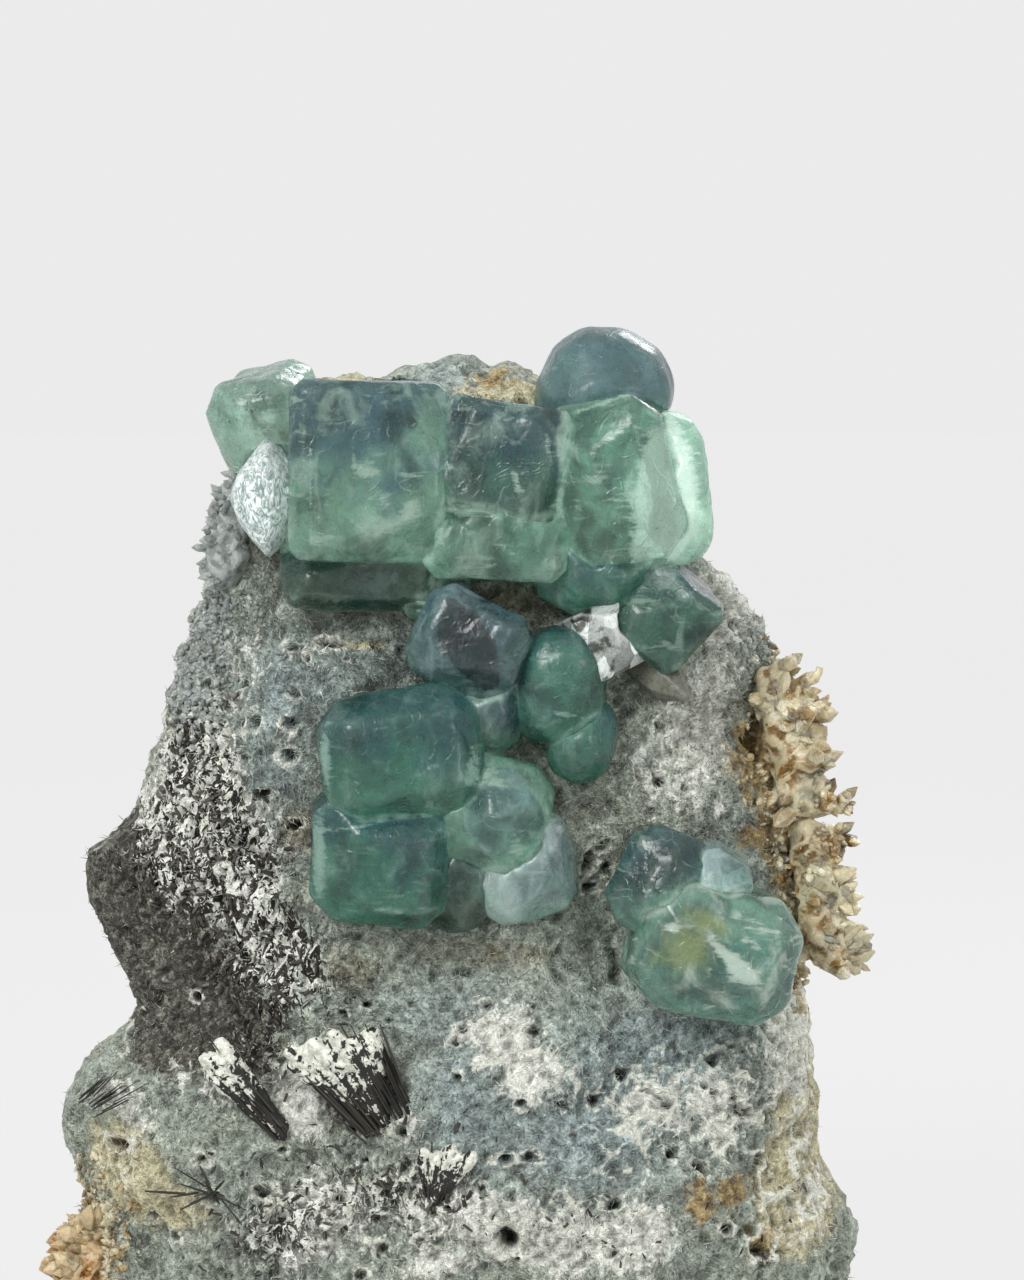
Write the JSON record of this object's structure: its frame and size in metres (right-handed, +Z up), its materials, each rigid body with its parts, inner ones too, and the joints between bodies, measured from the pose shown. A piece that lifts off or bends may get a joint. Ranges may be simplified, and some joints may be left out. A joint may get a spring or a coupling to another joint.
{
  "type": "fluorite specimen",
  "caption": "Upright plate of felted rock with clustered blue and green fluorite cubes, quartz crusts and black needle sprays, resting on a flat broken foot.",
  "frame": {"origin": "in the flat broken foot, below the middle of the plate", "axes": "+Z up the specimen from its foot to the crest, +X to the right of the crystal face, -Y out of the crystal face"},
  "size_m": [0.0662, 0.0389, 0.0844],
  "materials": {
    "rock": "matt felted blue-grey rock with white crust and rust stains",
    "fluorite_blue_green": "glassy translucent blue-green crystal",
    "fluorite_pale_green": "glassy translucent pale green crystal",
    "fluorite_mint": "glassy translucent mint crystal with white veils",
    "fluorite_dark_green": "glassy dark green crystal",
    "fluorite_grey_blue": "waxy translucent grey-blue crystal",
    "fluorite_frosted": "etched, frosted white crystal face",
    "clear_quartz": "bright clear crystal",
    "smoky_quartz": "glassy smoky crystal",
    "rusty_quartz": "iron-stained orange-brown crystal points",
    "grey_quartz": "dull grey crystal nubs",
    "black_needle": "black needles with a silky shine"
  },
  "bodies": {
    "root": {"matrix_rock": "rock", "fluorite_big_cube": "fluorite_blue_green", "fluorite_frosted_end": "fluorite_frosted", "fluorite_second_cube": "fluorite_blue_green", "fluorite_corner": "fluorite_pale_green", "fluorite_right_block": "fluorite_pale_green", "fluorite_dome": "fluorite_grey_blue", "fluorite_right_lobe": "fluorite_mint", "fluorite_underside": "fluorite_dark_green", "fluorite_lower_cube": "fluorite_pale_green", "fluorite_lower_right": "fluorite_blue_green", "fluorite_small_dark": "fluorite_dark_green", "fluorite_spur": "fluorite_blue_green", "fluorite_veined_cube": "fluorite_blue_green", "fluorite_blue_foot": "fluorite_blue_green", "fluorite_oval_upper": "fluorite_pale_green", "fluorite_oval_lower": "fluorite_blue_green", "fluorite_left_upper": "fluorite_blue_green", "fluorite_left_lower": "fluorite_blue_green", "fluorite_middle_inset": "fluorite_grey_blue", "fluorite_middle": "fluorite_pale_green", "fluorite_pale_lobe": "fluorite_grey_blue", "fluorite_wedge": "fluorite_dark_green", "fluorite_pair_main": "fluorite_blue_green", "fluorite_pair_cap": "fluorite_blue_green", "fluorite_pair_side": "fluorite_grey_blue", "clear_quartz_rhomb": "clear_quartz", "smoky_quartz_point": "smoky_quartz", "rusty_quartz_upper": "rusty_quartz", "rusty_quartz_lower": "rusty_quartz", "rusty_quartz_foot": "rusty_quartz", "grey_quartz_left": "grey_quartz", "needle_fan": "black_needle", "needle_bundle": "black_needle", "needle_star": "black_needle", "needle_edge": "black_needle", "needle_spray_low": "black_needle"}
  },
  "joints": []
}
